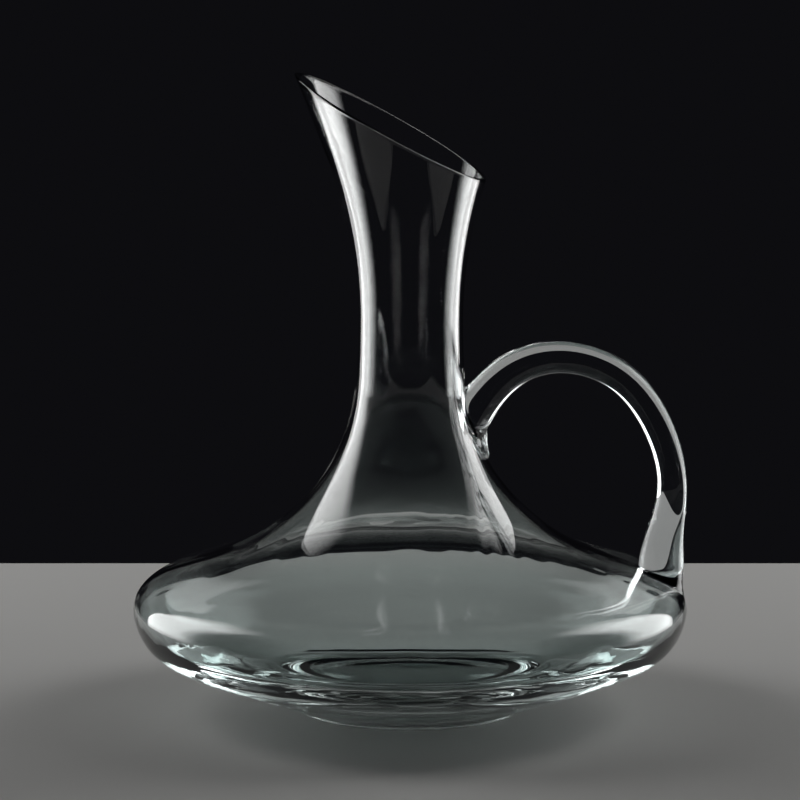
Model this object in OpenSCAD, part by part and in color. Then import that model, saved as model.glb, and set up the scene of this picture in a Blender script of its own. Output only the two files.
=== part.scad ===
// Handled wine decanter of clear glass: a blown vessel with a wide low bowl, a slim waisted neck and
// a mouth cut on a slant, and a drawn rod handle welded to the neck and to the bowl's shoulder.
// Millimetres, +Z up. The origin is on the bowl's axis at the table. The handle is on the +X side
// and the pouring tip on the -X side.

/* [Vessel] */
// Diameter of the bowl at its widest
bowl_d = 220; // [190:1:250]
// Height of the pouring tip above the table
tip_h = 254; // [225:1:285]
// Slope of the cut mouth, down towards the handle, in degrees
mouth_slope = 29; // [18:1:32]

/* [Glass thickness] */
// Wall at the lip
wall_lip = 1.6; // [1.3:0.1:2.4]
// Wall of the bowl, at its widest
wall_bowl = 3; // [2.2:0.1:4]
// Wall of the bowl round its lower edge
wall_edge = 4.5; // [3.5:0.5:6]
// Thickest glass in the bowl's underside
wall_under = 9.5; // [6:0.5:11]
// Glass at the middle of the base
wall_base = 9.5; // [7:0.5:11]
// Height inside of the groove round the floor
groove_h = 14; // [12:0.5:15]

/* [Foot] */
// Outer diameter of the flat ring that the bowl stands on
foot_d = 87; // [80:1:92]
// Width of the flat ring
foot_w = 4; // [2:0.5:6]
// Height of the hollow under the middle of the base
punt_h = 6; // [4:0.5:8]

/* [Handle] */
// Diameter of the rod at the grip
rod_d = 12; // [10:0.5:13]

/* [Hidden] */

vessel_glass = [0.80, 0.86, 0.86, 0.50];
handle_glass = [0.62, 0.76, 0.80, 0.80];
tail_glass = [0.45, 0.62, 0.70, 0.90];

// The guides below are drawn for a bowl 220 wide, a tip 254 high and a rod 12 thick
stretch_r = bowl_d / 220;
stretch_z = tip_h / 254;
stretch_rod = rod_d / 12;

// Guides of the outside of the glass, as radius and height, from the underside of the bowl to the tip.
// The last one carries the wall on past the tip, in the glass that the slanted cut takes off.
OUTSIDE = [
    [79.2, 14.1],
    [102.6, 22],
    [109.6, 33.5],
    [111, 44.7],
    [102, 52.6],
    [85.8, 56.8],
    [66, 64],
    [47, 78.2],
    [31.1, 96.7],
    [22, 118.9],
    [20.9, 144.3],
    [20.7, 174.7],
    [28.6, 211.4],
    [45.6, 254],
    [62.6, 296.6]
];

// Guides of the handle, as x, height and rod radius, from inside the neck's wall to inside the bowl's
HANDLE = [
    [17, 98, 8.2],
    [23.4, 118.7, 8.2],
    [38.9, 137.9, 6.9],
    [61.7, 143.3, 6.3],
    [85.6, 134.5, 6.1],
    [99.6, 112.9, 6.1],
    [105, 92.1, 5.6],
    [102.5, 75.2, 6.7],
    [99.4, 62.1, 9.4],
    [99.4, 44, 9]
];

// Guides of the tail, as x, height and radius, from under the handle down along the neck
TAIL = [
    [26.6, 119, 3],
    [26.4, 115, 4.4],
    [26.6, 111, 4.1],
    [27.6, 107, 3.1],
    [29.2, 103.4, 1.9],
    [30.6, 100.4, 1]
];

// Steps in each span of a spline, sides of a swept rod, and steps round the vessel
span_steps = 4;
rod_sides = 20;
turn_steps = 160;

foot_r = foot_d / 2;
// Rounding of the foot ring's outer edge, outwards and upwards
foot_edge = [1.5, 1];
tip_r = 45.6 * stretch_r;
// The block that cuts the mouth: its reach behind the tip, and its size
cut_back = 40;
cut_size = [200, 160, 120];

// One span of a uniform cubic B-spline over four guides, at t from 0 to 1
function span(a, b, c, d, t) =
    (pow(1 - t, 3) * a
    + (3 * pow(t, 3) - 6 * t * t + 4) * b
    + (3 * t + 3 * t * t - 3 * pow(t, 3) + 1) * c
    + pow(t, 3) * d) / 6;

// A spline that starts at the first guide, ends at the last and is drawn towards the others
function spline(g) =
    let (last = len(g) - 1)
    let (all = concat([2 * g[0] - g[1]], g, [2 * g[last] - g[last - 1]]))
    concat(
        [for (i = [0 : last - 1], k = [0 : span_steps - 1])
            span(all[i], all[i + 1], all[i + 2], all[i + 3], k / span_steps)],
        [g[last]]
    );

function reversed(points) = [for (i = [len(points) - 1 : -1 : 0]) points[i]];

// Direction across the outside guides at guide i, into the glass
function inward(g, i) =
    let (along = g[min(i + 1, len(g) - 1)] - g[max(i - 1, 0)])
    [-along[1], along[0]] / norm(along);

outside_guides = concat(
    [[foot_r + foot_edge[0], foot_edge[1]]],
    [for (p = OUTSIDE) [p[0] * stretch_r, p[1] * stretch_z]]
);
top_guide = len(outside_guides) - 1;

// Wall at outside guide i: thick under the bowl, thinner round its lower edge, and thinning steadily from
// its widest to the lip
edge_guide = 2;
widest_guide = 3;
function wall(i) =
    i < edge_guide ? wall_under
    : i < widest_guide ? wall_edge
    : wall_bowl + (wall_lip - wall_bowl) * (i - widest_guide) / (top_guide - widest_guide);

// Inside of the base: the slightly domed floor and the tight groove round it
floor_h = punt_h + wall_base;
floor_guides = [
    [0, floor_h],
    [18 * stretch_r, floor_h],
    [38 * stretch_r, floor_h - 0.5],
    [51 * stretch_r, groove_h - 0.2],
    [55 * stretch_r, groove_h + 0.4],
    [58 * stretch_r, groove_h + 3]
];
inside_guides = concat(
    floor_guides,
    [for (i = [1 : top_guide]) outside_guides[i] + wall(i) * inward(outside_guides, i)]
);
punt_guides = [
    [0, punt_h],
    [13, punt_h],
    [28, punt_h * 0.66],
    [foot_r - foot_w, 0]
];

outside = spline(outside_guides);
vessel_section = concat(spline(punt_guides), [[foot_r, 0]], outside, reversed(spline(inside_guides)));
solid_section = concat([[0, 0], [foot_r, 0]], outside, [[0, outside_guides[top_guide][1]]]);

// Everything above the slanted plane of the mouth
module mouth_cut() {
    translate([-tip_r, 0, tip_h])
        rotate([0, mouth_slope, 0])
            translate([-cut_back, -cut_size[1] / 2, 0])
                cube(cut_size);
}

// The vessel's outer form without its hollow, which the welded pieces end on
module solid_form() {
    rotate_extrude($fn = turn_steps)
        polygon(solid_section);
}

// A round rod along points of x, height and radius in the plane y = 0
module rod(points) {
    last = len(points) - 1;
    rings = [
        for (i = [0 : last])
            let (ahead = points[min(i + 1, last)] - points[max(i - 1, 0)])
            let (across = [-ahead[1], ahead[0]] / norm([ahead[0], ahead[1]]))
            for (k = [0 : rod_sides - 1])
                let (turn = 360 * k / rod_sides)
                [
                    points[i][0] + points[i][2] * cos(turn) * across[0],
                    points[i][2] * sin(turn),
                    points[i][1] + points[i][2] * cos(turn) * across[1]
                ]
    ];
    sides = [
        for (i = [0 : last - 1], k = [0 : rod_sides - 1])
            let (next = (k + 1) % rod_sides)
            [
                i * rod_sides + k,
                i * rod_sides + next,
                (i + 1) * rod_sides + next,
                (i + 1) * rod_sides + k
            ]
    ];
    start_cap = [for (k = [rod_sides - 1 : -1 : 0]) k];
    end_cap = [for (k = [0 : rod_sides - 1]) last * rod_sides + k];
    polyhedron(points = rings, faces = concat(sides, [start_cap], [end_cap]));
}

module handle_rod() {
    rod(spline([for (p = HANDLE) [p[0] * stretch_r, p[1] * stretch_z, p[2] * stretch_rod]]));
}

// Blown in one piece: bowl, neck, cut mouth and the thick base with its punt and foot ring
module vessel() {
    color(vessel_glass)
        difference() {
            rotate_extrude($fn = turn_steps)
                polygon(vessel_section);
            mouth_cut();
        }
}

// Solid drawn rod, pressed on the bowl as a spread foot and drawn over to the neck
module handle() {
    color(handle_glass)
        difference() {
            handle_rod();
            solid_form();
        }
}

// The sheared end of the handle's glass, folded back under the joint and pressed on the neck
module handle_tail() {
    color(tail_glass)
        difference() {
            rod(spline([for (p = TAIL) [p[0] * stretch_r, p[1] * stretch_z, p[2] * stretch_rod]]));
            solid_form();
            handle_rod();
        }
}

vessel();
handle();
handle_tail();
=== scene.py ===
"""Handled wine decanter of clear glass, on a pale plinth between two tall softboxes.

The vessel, the handle and its folded tail are rebuilt as smooth glass on the outlines of the CAD
model, and stand for its three nodes. Outlines are in mm of the drawn size, turns are in radians from
+X, and materials and staging are in metres.
"""
import math

import bpy
import numpy as np
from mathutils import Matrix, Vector


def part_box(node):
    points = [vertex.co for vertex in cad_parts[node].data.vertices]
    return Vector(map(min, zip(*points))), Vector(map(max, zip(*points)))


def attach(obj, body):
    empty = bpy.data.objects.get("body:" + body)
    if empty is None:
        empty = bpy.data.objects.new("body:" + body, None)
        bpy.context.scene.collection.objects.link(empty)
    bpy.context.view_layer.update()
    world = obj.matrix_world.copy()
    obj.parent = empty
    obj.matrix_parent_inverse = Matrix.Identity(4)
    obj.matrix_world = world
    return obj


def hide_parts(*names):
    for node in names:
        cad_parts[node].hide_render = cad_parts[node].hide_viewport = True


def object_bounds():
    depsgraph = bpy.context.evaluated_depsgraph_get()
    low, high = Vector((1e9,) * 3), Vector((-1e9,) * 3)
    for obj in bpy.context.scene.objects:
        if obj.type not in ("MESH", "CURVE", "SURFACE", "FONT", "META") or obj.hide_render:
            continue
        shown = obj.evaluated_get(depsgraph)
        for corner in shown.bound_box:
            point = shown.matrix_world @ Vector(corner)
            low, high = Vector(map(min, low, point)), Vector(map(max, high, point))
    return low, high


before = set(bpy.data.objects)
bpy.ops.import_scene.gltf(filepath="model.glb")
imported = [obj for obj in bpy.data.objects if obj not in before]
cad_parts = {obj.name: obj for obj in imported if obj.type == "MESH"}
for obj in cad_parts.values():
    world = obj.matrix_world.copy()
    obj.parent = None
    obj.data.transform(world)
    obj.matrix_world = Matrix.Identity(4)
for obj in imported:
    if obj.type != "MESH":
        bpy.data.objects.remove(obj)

cad_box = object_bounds()

# ---------------------------------------------------------------- measures

MM = 0.001

# The guide points were drawn for this size, in mm, and are stretched to the CAD vessel's
DRAWN_WIDTH, DRAWN_HEIGHT = 220.0, 254.0
vessel_low, vessel_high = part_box("vessel")
STRETCH_R = (vessel_high.x - vessel_low.x) / (DRAWN_WIDTH * MM)
STRETCH_Z = vessel_high.z / (DRAWN_HEIGHT * MM)

# Outside of the glass, radius and height, from the foot's edge up past the pouring tip
OUTSIDE = [
    (45, 1), (79.2, 14.1), (102.6, 22), (109.6, 33.5), (111, 44.7), (102, 52.6), (85.8, 56.8),
    (66, 64), (47, 78.2), (31.1, 96.7), (22, 118.9), (20.9, 144.3), (20.7, 174.7), (28.6, 211.4),
    (45.6, 254), (62.6, 296.6),
]
# Inside of the base, from the middle of its slightly domed floor to the groove round it
FLOOR = [(0, 15.5), (18, 15.5), (38, 15), (51, 13.8), (55, 14.4), (58, 17)]
# Hollow under the base, from its middle out to the flat foot ring, and the ring's rounded edge
PUNT = [(0, 6), (13, 6), (28, 4), (39.5, 0)]
FOOT_EDGE = [(43.5, 0), (44.2, 0.12), (44.7, 0.5)]
# Handle, as x, height and rod radius, from inside the neck's wall to inside the bowl's
HANDLE = [
    (17, 98, 8.2), (23.4, 118.7, 8.2), (38.9, 137.9, 6.9), (61.7, 143.3, 6.3), (85.6, 134.5, 6.1),
    (99.6, 112.9, 6.1), (105, 92.1, 5.6), (102.5, 75.2, 6.7), (99.4, 62.1, 9.4), (99.4, 44, 9),
]
# Tail, the same way, from under the handle down along the neck
TAIL = [
    (26.6, 119, 3), (26.4, 115, 4.4), (26.6, 111, 4.1), (27.6, 107, 3.1), (29.2, 103.4, 1.9),
    (30.6, 100.4, 1),
]

# Wall of the glass: under the bowl, round its lower edge, at its widest, and at the lip
EDGE_GUIDE, WIDEST_GUIDE = 2, 3
WALL_UNDER, WALL_EDGE, WALL_BOWL, WALL_LIP = 9.5, 4.5, 3.0, 1.6
MOUTH_SLOPE = math.tan(math.radians(29))
TIP_RADIUS = 45.6
LIP_ROUND = 0.6

# Depth of the welds' hidden faces in the vessel's wall, and the air in the open seam round them
WELD_DEPTH = 0.2
SEAM = 0.02
# Fillet of melted glass round the handle's welds: how far it spreads and how high it climbs
FILLET_OUT, FILLET_UP = 0.6, 2.2

# Steps round the vessel, in each span of its outlines, and along the flared neck and the lip
TURNS = 320
SPAN_STEPS, PUNT_STEPS = 40, 12
FLARE_FROM = 150.0
FLARE_STEPS = 90
LIP_STEPS = 14
# Below the flare there is a ring for each of these lengths along the wall, and for each of these bends
RING_LENGTH, RING_BEND = 4.0, math.radians(2)
# Lines along the rod, steps of its first fine rings, and the rings kept between its welds
ROD_LINES = 96
ROD_STEPS = 60
ROD_RINGS = 200
# Rings that close the rod's ends, as shares of their outline. The weld lies within the second
CAP_RINGS = (1.0, 0.72, 0.5, 0.25)

# Tail: lines and steps of its rod, and the rings that pinch its end shut
TAIL_LINES, TAIL_STEPS = 96, 24
TAIL_PINCH = 14
# Its lengthwise folds: how many round it, how deep, and how far they twist from ring to ring
TAIL_FOLDS, TAIL_FOLD_DEPTH, TAIL_TWIST = 8, 0.3, 0.05
# Heights between which the neck's form cuts the tail, and its rings
NECK_FORM_HEIGHTS = (80, 150)
NECK_FORM_RINGS = 140

# Cords beside the handle's upper weld: their turn from it there, how far they move out on their way down
# to the shoulder, and the width of the band that they lie in
CORDS_TURN, CORDS_SPREAD, CORDS_WIDTH = 0.62, 0.42, 0.3
# Heights over which they come up on the shoulder, move out, and die out on the neck
CORDS_COME_UP, CORDS_MOVE_OUT, CORDS_DIE_OUT = (60, 88), (64, 112), (112, 142)
# Heights over which the wall's waviness comes up above the base, and depths under the mouth's plane over
# which it dies out at the lip
WAVES_COME_UP, WAVES_DIE_OUT = (24, 44), (2, 34)

# Heights in metres of the waves of the rod and of the blown wall, which the materials carry
ROD_WAVE_HEIGHT, WALL_WAVE_HEIGHT = 0.0001, 0.0004
# Fine rings in the base: how many to a metre, their height, and where on the way up they die out, in metres
BASE_RINGS = 220
BASE_RING_HEIGHT = 0.00003
BASE_RINGS_DIE_OUT = (0.014, 0.03)
# Where on the way up the tint of the thick base dies out, in metres
TINT_DIES_OUT = (0.03, 0.054)


# ---------------------------------------------------------------- curves

def spline(guides, steps=SPAN_STEPS):
    """A uniform cubic B-spline that starts at the first guide and ends at the last."""
    g = np.array(guides, float)
    g = np.vstack([2 * g[0] - g[1], g, 2 * g[-1] - g[-2]])
    t = np.linspace(0, 1, steps, endpoint=False)[:, None]
    spans = [
        ((1 - t) ** 3 * a + (3 * t ** 3 - 6 * t * t + 4) * b
         + (3 * t + 3 * t * t - 3 * t ** 3 + 1) * c + t ** 3 * d) / 6
        for a, b, c, d in zip(g, g[1:], g[2:], g[3:])
    ]
    return np.vstack(spans + [g[-2][None]])


def wall(i, top):
    """Wall at outside guide i: thick under the bowl, thinner round its edge, thinning to the lip."""
    if i < EDGE_GUIDE:
        return WALL_UNDER
    if i < WIDEST_GUIDE:
        return WALL_EDGE
    return WALL_BOWL + (WALL_LIP - WALL_BOWL) * (i - WIDEST_GUIDE) / (top - WIDEST_GUIDE)


def inside_guides():
    """The floor and its groove, then the outside's guides moved in by the wall."""
    g = np.array(OUTSIDE, float)
    top = len(g) - 1
    moved = []
    for i in range(1, top + 1):
        along = g[min(i + 1, top)] - g[i - 1]
        inward = np.array([-along[1], along[0]]) / np.linalg.norm(along)
        moved.append(g[i] + wall(i, top) * inward)
    return np.vstack([np.array(FLOOR, float), moved])


outside = spline(OUTSIDE)
inside = spline(inside_guides())
punt = spline(PUNT, PUNT_STEPS)

# The outside above the bowl's widest, where each height has one radius
shoulder = outside[outside[:, 0].argmax():]
shoulder_slope = np.gradient(shoulder[:, 0], shoulder[:, 1])


def at(curve, u):
    """Points of a dense curve at fractional indices u."""
    index = np.arange(len(curve))
    return np.stack([np.interp(u, index, curve[:, 0]), np.interp(u, index, curve[:, 1])], -1)


def index_at_height(curve, z):
    """Fractional index where the curve's last rise passes height z."""
    i = len(curve) - 1
    while curve[i - 1, 1] > z:
        i -= 1
    return i - 1 + (z - curve[i - 1, 1]) / (curve[i, 1] - curve[i - 1, 1])


def ring_places(curve, end):
    """Fractional indices from the curve's start to end, closer together where it bends more."""
    step = np.diff(curve, axis=0)
    bend = np.abs(np.diff(np.unwrap(np.arctan2(step[:, 1], step[:, 0]))))
    worth = np.linalg.norm(step, axis=1) / RING_LENGTH + np.append(bend, 0) / RING_BEND
    reached = np.append(0, np.cumsum(worth))
    index = np.arange(len(curve))
    whole = np.interp(end, index, reached)
    return np.interp(np.linspace(0, whole, round(whole)), reached, index)


def mouth_height(turn, radius):
    """Height of the slanted mouth's plane."""
    return DRAWN_HEIGHT - MOUTH_SLOPE * (radius * np.cos(turn) + TIP_RADIUS)


def cut_index(curve, turn, lowered):
    """Fractional index where the wall at this turn passes the mouth's plane, lowered by a little."""
    above = curve[:, 1] - mouth_height(turn, curve[:, 0]) + lowered
    i = np.nonzero((above[:-1] < 0) & (above[1:] >= 0))[0][-1]
    return i - above[i] / (above[i + 1] - above[i])


def ease(x, start, end):
    """0 before start, 1 past end, and smooth between them."""
    t = np.clip((x - start) / (end - start), 0, 1)
    return t * t * (3 - 2 * t)


# ---------------------------------------------------------------- hand-made waviness

def free_wall(turn, z):
    """1 on the blown wall, and 0 on the base and at the lip, which are left true."""
    under_mouth = mouth_height(turn, 0.8 * TIP_RADIUS) - z
    return ease(z, *WAVES_COME_UP) * ease(under_mouth, *WAVES_DIE_OUT)


def wave(phase):
    """A wave from 0 to 1."""
    return 0.5 + 0.5 * np.sin(phase)


def weld_cords(turn, z):
    """Long cords drawn down the wall on both sides of the handle's upper weld, out to the shoulder."""
    spread = 1 - ease(z, *CORDS_MOVE_OUT)
    across = np.abs(turn) - CORDS_TURN - CORDS_SPREAD * spread
    side = np.exp(-(across / CORDS_WIDTH) ** 2)
    height = ease(z, *CORDS_COME_UP) * (1 - ease(z, *CORDS_DIE_OUT)) * (1 + 0.6 * spread)
    wide = wave(27 * across + 1.3 * np.sin(z / 15))
    fine = wave(49 * across - 0.9 * np.sin(z / 9))
    return side * height * (0.6 * wide + 0.4 * fine)


def outer_sink(turn, z):
    """How far the outside lies within its drawn outline, level, in mm."""
    slow = 0.07 * wave(2 * turn + 0.9 + z / 55) + 0.03 * wave(5 * turn - z / 17)
    return free_wall(turn, z) * (slow + 0.09 * weld_cords(turn, z))


def inner_sink(turn, z):
    """The same for the inside."""
    slow = 0.10 * wave(3 * turn + 2.1 - z / 48) + 0.04 * wave(7 * turn + z / 13)
    return free_wall(turn, z) * (slow + 0.11 * weld_cords(turn + 0.05, z + 3))


def outer_radius(turn, z):
    """Radius of the finished outside, above the bowl's widest."""
    return np.interp(z, shoulder[:, 1], shoulder[:, 0]) - outer_sink(turn, z)


# ---------------------------------------------------------------- meshes

def new_piece(name, points, faces, materials, welded=()):
    """A smooth mesh object from points in mm of the drawn size. Welded faces get the second material."""
    points = np.array(points, float) * [STRETCH_R * MM, STRETCH_R * MM, STRETCH_Z * MM]
    mesh = bpy.data.meshes.new(name)
    mesh.from_pydata(points.tolist(), [], faces)
    for material in materials:
        mesh.materials.append(material)
    for i in welded:
        mesh.polygons[i].material_index = 1
    mesh.shade_smooth()
    mesh.update()
    piece = bpy.data.objects.new(name, mesh)
    bpy.context.scene.collection.objects.link(piece)
    return piece


def stacked(name, first, rings, last, materials, weld_rings=0):
    """A closed piece through rings of equal count, with a point at each end, going up or outwards.

    The faces past weld_rings rings from either end are its welds.
    """
    sides, count = len(rings[0]), len(rings)
    points = np.vstack([np.array(rings, float).reshape(-1, 3), [first, last]])
    start, end = sides * count, sides * count + 1
    faces, welded = [], []
    for k in range(count - 1):
        if k < weld_rings or k >= count - 1 - weld_rings:
            welded += range(len(faces), len(faces) + sides)
        for j in range(sides):
            a, b = k * sides + j, k * sides + (j + 1) % sides
            faces.append((a, b, b + sides, a + sides))
    for j in range(sides):
        top, after = (count - 1) * sides, (j + 1) % sides
        faces += [(start, after, j), (end, top + j, top + after)]
    if weld_rings:
        welded += range(len(faces) - 2 * sides, len(faces))
    return new_piece(name, points, faces, materials, welded)


def carve(piece, cutter):
    """Cuts one piece by another, whose faces and materials then line the cut."""
    cut = piece.modifiers.new("cut", "BOOLEAN")
    cut.operation = "DIFFERENCE"
    cut.solver = "MANIFOLD"
    cut.object = cutter
    cut.material_mode = "INDEX"
    depsgraph = bpy.context.evaluated_depsgraph_get()
    mesh = bpy.data.meshes.new_from_object(piece.evaluated_get(depsgraph))
    piece.modifiers.clear()
    mesh.name = piece.name
    piece.data = mesh


def keep_edges(piece, degrees):
    """Shades the piece smooth, but for edges sharper than this."""
    piece.data.set_sharp_from_angle(angle=math.radians(degrees))


# ---------------------------------------------------------------- vessel

def lip(outer, inner, up, turn):
    """The fire-polished lip at one turn: a sheared half-ellipse from the outer wall to the inner."""
    middle, half = (outer + inner) / 2, (outer - inner) / 2
    rise = LIP_ROUND / (up[1] + MOUTH_SLOPE * math.cos(turn) * up[0])
    angle = np.pi * np.arange(1, LIP_STEPS)[:, None] / LIP_STEPS
    return middle + half * np.cos(angle) + up * rise * np.sin(angle)


def section(turn):
    """The glass's section at one turn, from the punt's middle round by the lip to the floor's."""
    ends, walls, ups = [], [], []
    for curve, sink in ((outside, outer_sink), (inside, inner_sink)):
        split, cut = index_at_height(curve, FLARE_FROM), cut_index(curve, turn, LIP_ROUND)
        below = at(curve, ring_places(curve, split))
        above = at(curve, np.linspace(split, cut, FLARE_STEPS)[1:])
        side = np.vstack([below, above])
        side[:, 0] -= sink(turn, side[:, 1])
        walls.append(side)
        ends.append(side[-1])
        step = side[-1] - side[-2]
        ups.append(step / np.linalg.norm(step))
    up = (ups[0] + ups[1]) / np.linalg.norm(ups[0] + ups[1])
    return np.vstack([punt, FOOT_EDGE, walls[0], lip(ends[0], ends[1], up, turn), walls[1][::-1]])


def vessel_piece(materials):
    """Bowl, neck, lip and thick base, in one skin that runs from under the base to the floor."""
    turns = 2 * np.pi * np.arange(TURNS) / TURNS
    sections = np.array([section(turn if turn < math.pi else turn - 2 * math.pi) for turn in turns])
    radius, height = sections[:, 1:-1, 0].T, sections[:, 1:-1, 1].T
    rings = np.stack([radius * np.cos(turns), radius * np.sin(turns), height], -1)
    return stacked("vessel_glass", (0, 0, punt[0, 1]), rings, (0, 0, inside[0, 1]), materials)


# ---------------------------------------------------------------- handle

def rod(guides, lines, steps):
    """Rings of points round a rod from guides of x, height and radius, and the directions outwards."""
    centre = spline(guides, steps)
    along = np.gradient(centre[:, :2], axis=0)
    along /= np.linalg.norm(along, axis=1)[:, None]
    turn = 2 * np.pi * np.arange(lines) / lines
    across = np.stack([along[:, 1], 0 * along[:, 0], -along[:, 0]], -1)
    out = np.cos(turn)[None, :, None] * across[:, None] + np.sin(turn)[None, :, None] * [0, 1, 0]
    middle = np.stack([centre[:, 0], 0 * centre[:, 0], centre[:, 1]], -1)
    return middle[:, None] + centre[:, None, 2:] * out, out


def gap_to_vessel(points):
    """Distance of points from the vessel's outside, across it, less than 0 in its wall."""
    turn = np.arctan2(points[..., 1], points[..., 0])
    slope = np.interp(points[..., 2], shoulder[:, 1], shoulder_slope)
    level = np.hypot(points[..., 0], points[..., 1]) - outer_radius(turn, points[..., 2])
    return level / np.hypot(1, slope)


def weld_ends(gap):
    """Fractional ring indices where each of the rod's lines leaves the neck and meets the bowl."""
    middle = len(gap) // 2
    starts, stops = [], []
    for line in gap.T:
        buried = np.nonzero(line <= 0)[0]
        a, b = buried[buried < middle].max(), buried[buried > middle].min()
        starts.append(a + line[a] / (line[a] - line[a + 1]))
        stops.append(b - line[b] / (line[b] - line[b - 1]))
    return np.array(starts), np.array(stops)


def between(rings, starts, stops, count):
    """Points at count even steps of ring index along each line, as new rings."""
    u = starts + (stops - starts) * np.linspace(0, 1, count)[:, None]
    k = np.clip(u.astype(int), 0, len(rings) - 2)
    part = (u - k)[..., None]
    line = np.arange(rings.shape[1])
    return rings[k, line] * (1 - part) + rings[k + 1, line] * part


def on_wall(turn, z, depth):
    """Points in the vessel's wall, this deep under its outside."""
    radius = outer_radius(turn, z)
    slope = np.interp(z, shoulder[:, 1], shoulder_slope)
    out, up = 1 / np.hypot(1, slope), -slope / np.hypot(1, slope)
    level = radius - depth * out
    return np.stack([level * np.cos(turn), level * np.sin(turn), z - depth * up], -1)


def weld_cap(edge):
    """Rings that close the rod's end in the vessel's wall, from its edge in, and their middle point."""
    turn, z = np.arctan2(edge[:, 1], edge[:, 0]), edge[:, 2]
    middle = (z.max() + z.min()) / 2
    rings = [on_wall(share * turn, middle + share * (z - middle), WELD_DEPTH) for share in CAP_RINGS]
    return rings, on_wall(0.0, middle, WELD_DEPTH)


def handle_piece(materials):
    """The drawn rod with its fillets, each end let into the vessel's wall by a weld's depth."""
    rings, out = rod(HANDLE, ROD_LINES, ROD_STEPS)
    turn = 2 * np.pi * np.arange(ROD_LINES) / ROD_LINES
    along = np.arange(len(rings))[:, None] / len(rings)
    drawn = 0.05 * wave(3 * turn + 7 * along) + 0.03 * wave(8 * turn - 5 * along + 1)
    climb = np.clip(1 - gap_to_vessel(rings) / FILLET_UP, 0, 1)
    rings = rings + out * (FILLET_OUT * climb ** 2 - drawn)[..., None]
    starts, stops = weld_ends(gap_to_vessel(rings))
    body = list(between(rings, starts, stops, ROD_RINGS))
    neck_cap, neck_middle = weld_cap(body[0])
    bowl_cap, bowl_middle = weld_cap(body[-1])
    stack = neck_cap[::-1] + body + bowl_cap
    piece = stacked("handle_glass", neck_middle, stack, bowl_middle, materials, len(CAP_RINGS) - 2)
    keep_edges(piece, 25)
    return piece


def seam_rings():
    """Numbers of the handle's rings that border the open seams: its last ones and the caps' first."""
    neck_end, bowl_end = len(CAP_RINGS), len(CAP_RINGS) + ROD_RINGS
    return neck_end - 1, neck_end, bowl_end - 1, bowl_end


def let_in(vessel, handle):
    """Sinks the vessel's wall under the handle's ends, with an open seam round each weld."""
    border = [k * ROD_LINES + j for k in seam_rings() for j in range(ROD_LINES)]
    form = swollen_copy(handle, border)
    carve(vessel, form)
    bpy.data.objects.remove(form)
    keep_edges(vessel, 40)


# ---------------------------------------------------------------- tail

def tail_piece(handle, materials):
    """The folded end of the handle's glass: a pinched lobe that laps on the neck, seam open."""
    rings, out = rod(TAIL, TAIL_LINES, TAIL_STEPS)
    count = len(rings)
    turn = 2 * np.pi * np.arange(TAIL_LINES) / TAIL_LINES
    folds = wave(TAIL_FOLDS * turn + TAIL_TWIST * np.arange(count)[:, None])
    rings = rings - out * TAIL_FOLD_DEPTH * folds[..., None]
    pinch = np.ones(count)
    pinch[-TAIL_PINCH:] = np.sqrt(1 - (np.arange(1, TAIL_PINCH + 1) / (TAIL_PINCH + 1)) ** 2)
    middle = rings.mean(axis=1, keepdims=True)
    rings = middle + (rings - middle) * pinch[:, None, None]
    piece = stacked("handle_tail_glass", rings[0].mean(axis=0), rings, rings[-1].mean(axis=0), materials)
    neck = neck_form()
    swollen = swollen_copy(handle, range(len(handle.data.vertices)))
    carve(piece, neck)
    carve(piece, swollen)
    for helper in (neck, swollen):
        bpy.data.objects.remove(helper)
    keep_edges(piece, 35)
    return piece


def neck_form():
    """The neck's outside as a solid, larger by the seam, to cut the tail on."""
    turns = 2 * np.pi * np.arange(TURNS) / TURNS
    turns = np.where(turns < math.pi, turns, turns - 2 * math.pi)
    heights = np.linspace(*NECK_FORM_HEIGHTS, NECK_FORM_RINGS)
    rings = [on_wall(turns, np.full(TURNS, z), -SEAM) for z in heights]
    return stacked("neck_form", (0, 0, heights[0]), rings, (0, 0, heights[-1]), [])


def swollen_copy(piece, vertices):
    """A copy of a piece, larger at these vertices by the seam."""
    copy = bpy.data.objects.new(piece.name + "_form", piece.data.copy())
    bpy.context.scene.collection.objects.link(copy)
    for i in vertices:
        copy.data.vertices[i].co += piece.data.vertex_normals[i].vector * SEAM * MM
    return copy


# ---------------------------------------------------------------- materials

def node(tree, kind, **settings):
    """A new node with its properties set."""
    new = tree.nodes.new(kind)
    for name, value in settings.items():
        setattr(new, name, value)
    return new


def noise(tree, scale, stretch, detail=2.0):
    """Noise over the piece's own coordinates, in metres, drawn out along z by a stretch."""
    place = node(tree, "ShaderNodeTexCoord")
    mapping = node(tree, "ShaderNodeMapping")
    mapping.inputs["Scale"].default_value = (scale, scale, scale / stretch)
    field = node(tree, "ShaderNodeTexNoise")
    field.inputs["Scale"].default_value = 1.0
    field.inputs["Detail"].default_value = detail
    tree.links.new(place.outputs["Object"], mapping.inputs["Vector"])
    tree.links.new(mapping.outputs["Vector"], field.inputs["Vector"])
    return field.outputs["Fac"]


def ranged(tree, value, low, high, to_low, to_high):
    """A value mapped from one range to another, and kept in it."""
    mapped = node(tree, "ShaderNodeMapRange")
    tree.links.new(value, mapped.inputs["Value"])
    for name, number in zip(("From Min", "From Max", "To Min", "To Max"), (low, high, to_low, to_high)):
        mapped.inputs[name].default_value = number
    return mapped.outputs["Result"]


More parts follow.
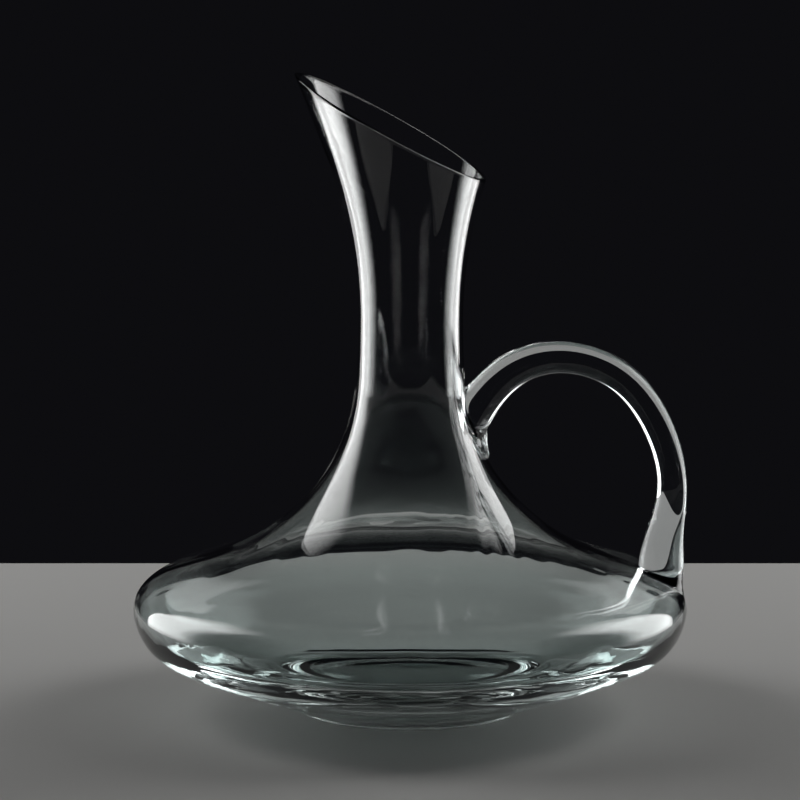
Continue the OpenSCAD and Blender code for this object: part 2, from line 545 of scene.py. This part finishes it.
def glass(name, clear, tinted, tint_by, relief):
    """Clear soda glass: a tint that gathers where tint_by says, faint smears and a relief in metres."""
    material = bpy.data.materials.new(name)
    material.use_nodes = True
    tree = material.node_tree
    shader = tree.nodes["Principled BSDF"]
    shader.inputs["Transmission Weight"].default_value = 1.0
    shader.inputs["IOR"].default_value = 1.52

    tint = node(tree, "ShaderNodeMix", data_type="RGBA")
    tint.inputs["A"].default_value = (*clear, 1)
    tint.inputs["B"].default_value = (*tinted, 1)
    tree.links.new(tint_by(tree), tint.inputs["Factor"])
    tree.links.new(tint.outputs["Result"], shader.inputs["Base Color"])

    smears = ranged(tree, noise(tree, scale=38, stretch=1.6, detail=5), 0.55, 0.8, 0.0, 0.035)
    tree.links.new(smears, shader.inputs["Roughness"])

    bump = node(tree, "ShaderNodeBump")
    bump.inputs["Strength"].default_value = 1.0
    bump.inputs["Distance"].default_value = 1.0
    tree.links.new(relief(tree), bump.inputs["Height"])
    tree.links.new(bump.outputs["Normal"], shader.inputs["Normal"])
    return material


def tint_by_height(tree):
    """Full in the thick base and gone above it, with a slow cloud in it."""
    place = node(tree, "ShaderNodeTexCoord")
    parts = node(tree, "ShaderNodeSeparateXYZ")
    tree.links.new(place.outputs["Object"], parts.inputs["Vector"])
    base = ranged(tree, parts.outputs["Z"], *TINT_DIES_OUT, 1.0, 0.0)
    cloud = ranged(tree, noise(tree, scale=14, stretch=2), 0.3, 0.7, 0.0, 0.06)
    most = node(tree, "ShaderNodeMath", operation="MAXIMUM")
    tree.links.new(base, most.inputs[0])
    tree.links.new(cloud, most.inputs[1])
    return most.outputs["Value"]


def tint_by_cloud(tree):
    """Slow clouds of tint along the solid rod."""
    return ranged(tree, noise(tree, scale=30, stretch=3), 0.3, 0.7, 0.2, 1.0)


def drawn_waves(tree):
    """The slow waves of drawn glass along the rod."""
    return ranged(tree, noise(tree, scale=60, stretch=5), 0, 1, 0, ROD_WAVE_HEIGHT)


def blown_waves(tree):
    """The slow waves of the blown wall, and fine rings round the base left by the turning."""
    place = node(tree, "ShaderNodeTexCoord")
    parts = node(tree, "ShaderNodeSeparateXYZ")
    level = node(tree, "ShaderNodeVectorMath", operation="MULTIPLY")
    level.inputs[1].default_value = (1, 1, 0)
    radius = node(tree, "ShaderNodeVectorMath", operation="LENGTH")
    rings = node(tree, "ShaderNodeTexNoise", noise_dimensions="1D")
    rings.inputs["Scale"].default_value = BASE_RINGS
    rings.inputs["Detail"].default_value = 1.0
    tree.links.new(place.outputs["Object"], parts.inputs["Vector"])
    tree.links.new(place.outputs["Object"], level.inputs[0])
    tree.links.new(level.outputs["Vector"], radius.inputs[0])
    tree.links.new(radius.outputs["Value"], rings.inputs["W"])
    height = ranged(tree, parts.outputs["Z"], *BASE_RINGS_DIE_OUT, BASE_RING_HEIGHT, 0)
    low = node(tree, "ShaderNodeMath", operation="MULTIPLY")
    tree.links.new(rings.outputs["Fac"], low.inputs[0])
    tree.links.new(height, low.inputs[1])
    both = node(tree, "ShaderNodeMath", operation="ADD")
    slow = ranged(tree, noise(tree, scale=26, stretch=5), 0, 1, 0, WALL_WAVE_HEIGHT)
    tree.links.new(slow, both.inputs[0])
    tree.links.new(low.outputs["Value"], both.inputs[1])
    return both.outputs["Value"]


def weld():
    """The hidden faces where two pieces of glass are fused: light goes straight through."""
    material = bpy.data.materials.new("weld")
    material.use_nodes = True
    tree = material.node_tree
    tree.nodes.remove(tree.nodes["Principled BSDF"])
    clear = node(tree, "ShaderNodeBsdfTransparent")
    tree.links.new(clear.outputs["BSDF"], tree.nodes["Material Output"].inputs["Surface"])
    return material


# ---------------------------------------------------------------- staging

# Camera: its angle above the level, its distance, its lens, and what it looks at as shares of the
# object's width and height
CAMERA_RISE = math.radians(10)
CAMERA_AWAY = 2.56
CAMERA_LENS = 291.5
AIM_SIDE, AIM_UP = -0.018, 0.4874

# Plinth: its half width, its front and back edges, the rounding of its corners and of its top, its depth
PLINTH_SIDE, PLINTH_FRONT, PLINTH_BACK = 0.29, -0.22, 0.29
PLINTH_CORNER, PLINTH_EDGE, PLINTH_DEPTH = 0.05, 0.004, 0.4
PLINTH_TURNS, PLINTH_EDGE_STEPS = 256, 8

# Softboxes: their size, and the place of their middle to the side, to the back and up
SOFTBOX_SIZE = (0.9, 2.5)
SOFTBOX_AWAY, SOFTBOX_BACK, SOFTBOX_UP = 1.0, 0.52, 0.5
# Where their light comes up from the front edge, and where it fades out towards the top
SOFTBOX_COME_UP = (0.07, 0.3)
SOFTBOX_FADE = (0.9, 1.7)
SOFTBOX_RADIANCE = 3.2


def place_camera():
    low, high = cad_box
    aim = Vector((AIM_SIDE * (high[0] - low[0]), 0, AIM_UP * (high[2] - low[2])))
    back = Vector((0, -math.cos(CAMERA_RISE), math.sin(CAMERA_RISE)))
    camera = bpy.data.objects.new("camera", bpy.data.cameras.new("camera"))
    camera.location = aim + back * CAMERA_AWAY
    camera.rotation_euler = back.to_track_quat("Z", "Y").to_euler()
    camera.data.lens = CAMERA_LENS
    bpy.context.scene.collection.objects.link(camera)
    bpy.context.scene.camera = camera


def place_plinth():
    """A pale block with rounded corners and a small rounded edge round its top."""
    turns = 2 * np.pi * np.arange(PLINTH_TURNS) / PLINTH_TURNS
    quarter = np.pi / 2 * np.arange(PLINTH_EDGE_STEPS + 1) / PLINTH_EDGE_STEPS
    inset = [(0, -PLINTH_DEPTH)]
    inset += [(PLINTH_EDGE * (1 - math.cos(a)), PLINTH_EDGE * (math.sin(a) - 1)) for a in quarter]
    side = (PLINTH_SIDE - PLINTH_CORNER) * np.sign(np.cos(turns))
    half_depth = (PLINTH_BACK - PLINTH_FRONT) / 2 - PLINTH_CORNER
    back = (PLINTH_BACK + PLINTH_FRONT) / 2 + half_depth * np.sign(np.sin(turns))
    rings = []
    for inwards, z in inset:
        corner = PLINTH_CORNER - inwards
        x, y = side + corner * np.cos(turns), back + corner * np.sin(turns)
        rings.append(np.stack([x, y, np.full(len(turns), z)], -1) / MM)
    material = bpy.data.materials.new("plinth")
    material.use_nodes = True
    tree = material.node_tree
    shader = tree.nodes["Principled BSDF"]
    shader.inputs["Base Color"].default_value = (0.62, 0.615, 0.6, 1)
    shader.inputs["Roughness"].default_value = 0.6
    plinth = stacked("plinth", (0, 0, -PLINTH_DEPTH / MM), rings, (0, 0, 0), [material])
    keep_edges(plinth, 30)


def place_softbox(name, side):
    """A tall soft light to one side, facing across the object, soft at its front and its top."""
    width, height = SOFTBOX_SIZE
    light = bpy.data.lights.new(name, "AREA")
    light.shape = "RECTANGLE"
    light.size, light.size_y = width, height
    light.energy = SOFTBOX_RADIANCE * math.pi * width * height
    light.use_nodes = True
    tree = light.node_tree
    place = node(tree, "ShaderNodeNewGeometry")
    parts = node(tree, "ShaderNodeSeparateXYZ")
    tree.links.new(place.outputs["Position"], parts.inputs["Vector"])
    come_up = ranged(tree, parts.outputs["Y"], *SOFTBOX_COME_UP, 0.0, 1.0)
    fade = node(tree, "ShaderNodeMath", operation="MULTIPLY")
    tree.links.new(come_up, fade.inputs[0])
    tree.links.new(ranged(tree, parts.outputs["Z"], *SOFTBOX_FADE, 1.0, 0.0), fade.inputs[1])
    tree.links.new(fade.outputs["Value"], tree.nodes["Emission"].inputs["Strength"])
    softbox = bpy.data.objects.new(name, light)
    softbox.location = (side * SOFTBOX_AWAY, SOFTBOX_BACK, SOFTBOX_UP)
    softbox.rotation_euler = Vector((-side, 0, 0)).to_track_quat("-Z", "Y").to_euler()
    bpy.context.scene.collection.objects.link(softbox)


def place_backdrop():
    world = bpy.data.worlds.new("backdrop")
    world.use_nodes = True
    world.node_tree.nodes["Background"].inputs["Color"].default_value = (0.004, 0.004, 0.005, 1)
    bpy.context.scene.world = world


def light_paths():
    """Enough bounces for light to get through the thick base and the rod, in the Standard view."""
    cycles = bpy.context.scene.cycles
    cycles.max_bounces = 24
    cycles.transmission_bounces = 24
    cycles.glossy_bounces = 12
    cycles.transparent_max_bounces = 24
    bpy.context.scene.view_settings.view_transform = "Standard"


place_camera()
place_plinth()
place_softbox("softbox_left", -1)
place_softbox("softbox_right", 1)
place_backdrop()
light_paths()

# ---------------------------------------------------------------- the decanter

vessel_glass = glass("vessel_glass", (0.985, 0.995, 0.992), (0.74, 0.83, 0.82), tint_by_height, blown_waves)
handle_glass = glass("handle_glass", (0.975, 0.992, 0.992), (0.93, 0.972, 0.985), tint_by_cloud, drawn_waves)
weld_faces = weld()

handle = handle_piece([handle_glass, weld_faces])
tail = tail_piece(handle, [handle_glass])
vessel = vessel_piece([vessel_glass, weld_faces])
let_in(vessel, handle)

for piece, cad_node, slot in (
    (vessel, "vessel", "vessel_glass"),
    (handle, "handle", "handle_glass"),
    (tail, "handle_tail", "handle_glass"),
):
    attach(piece, "root")
    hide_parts(cad_node)
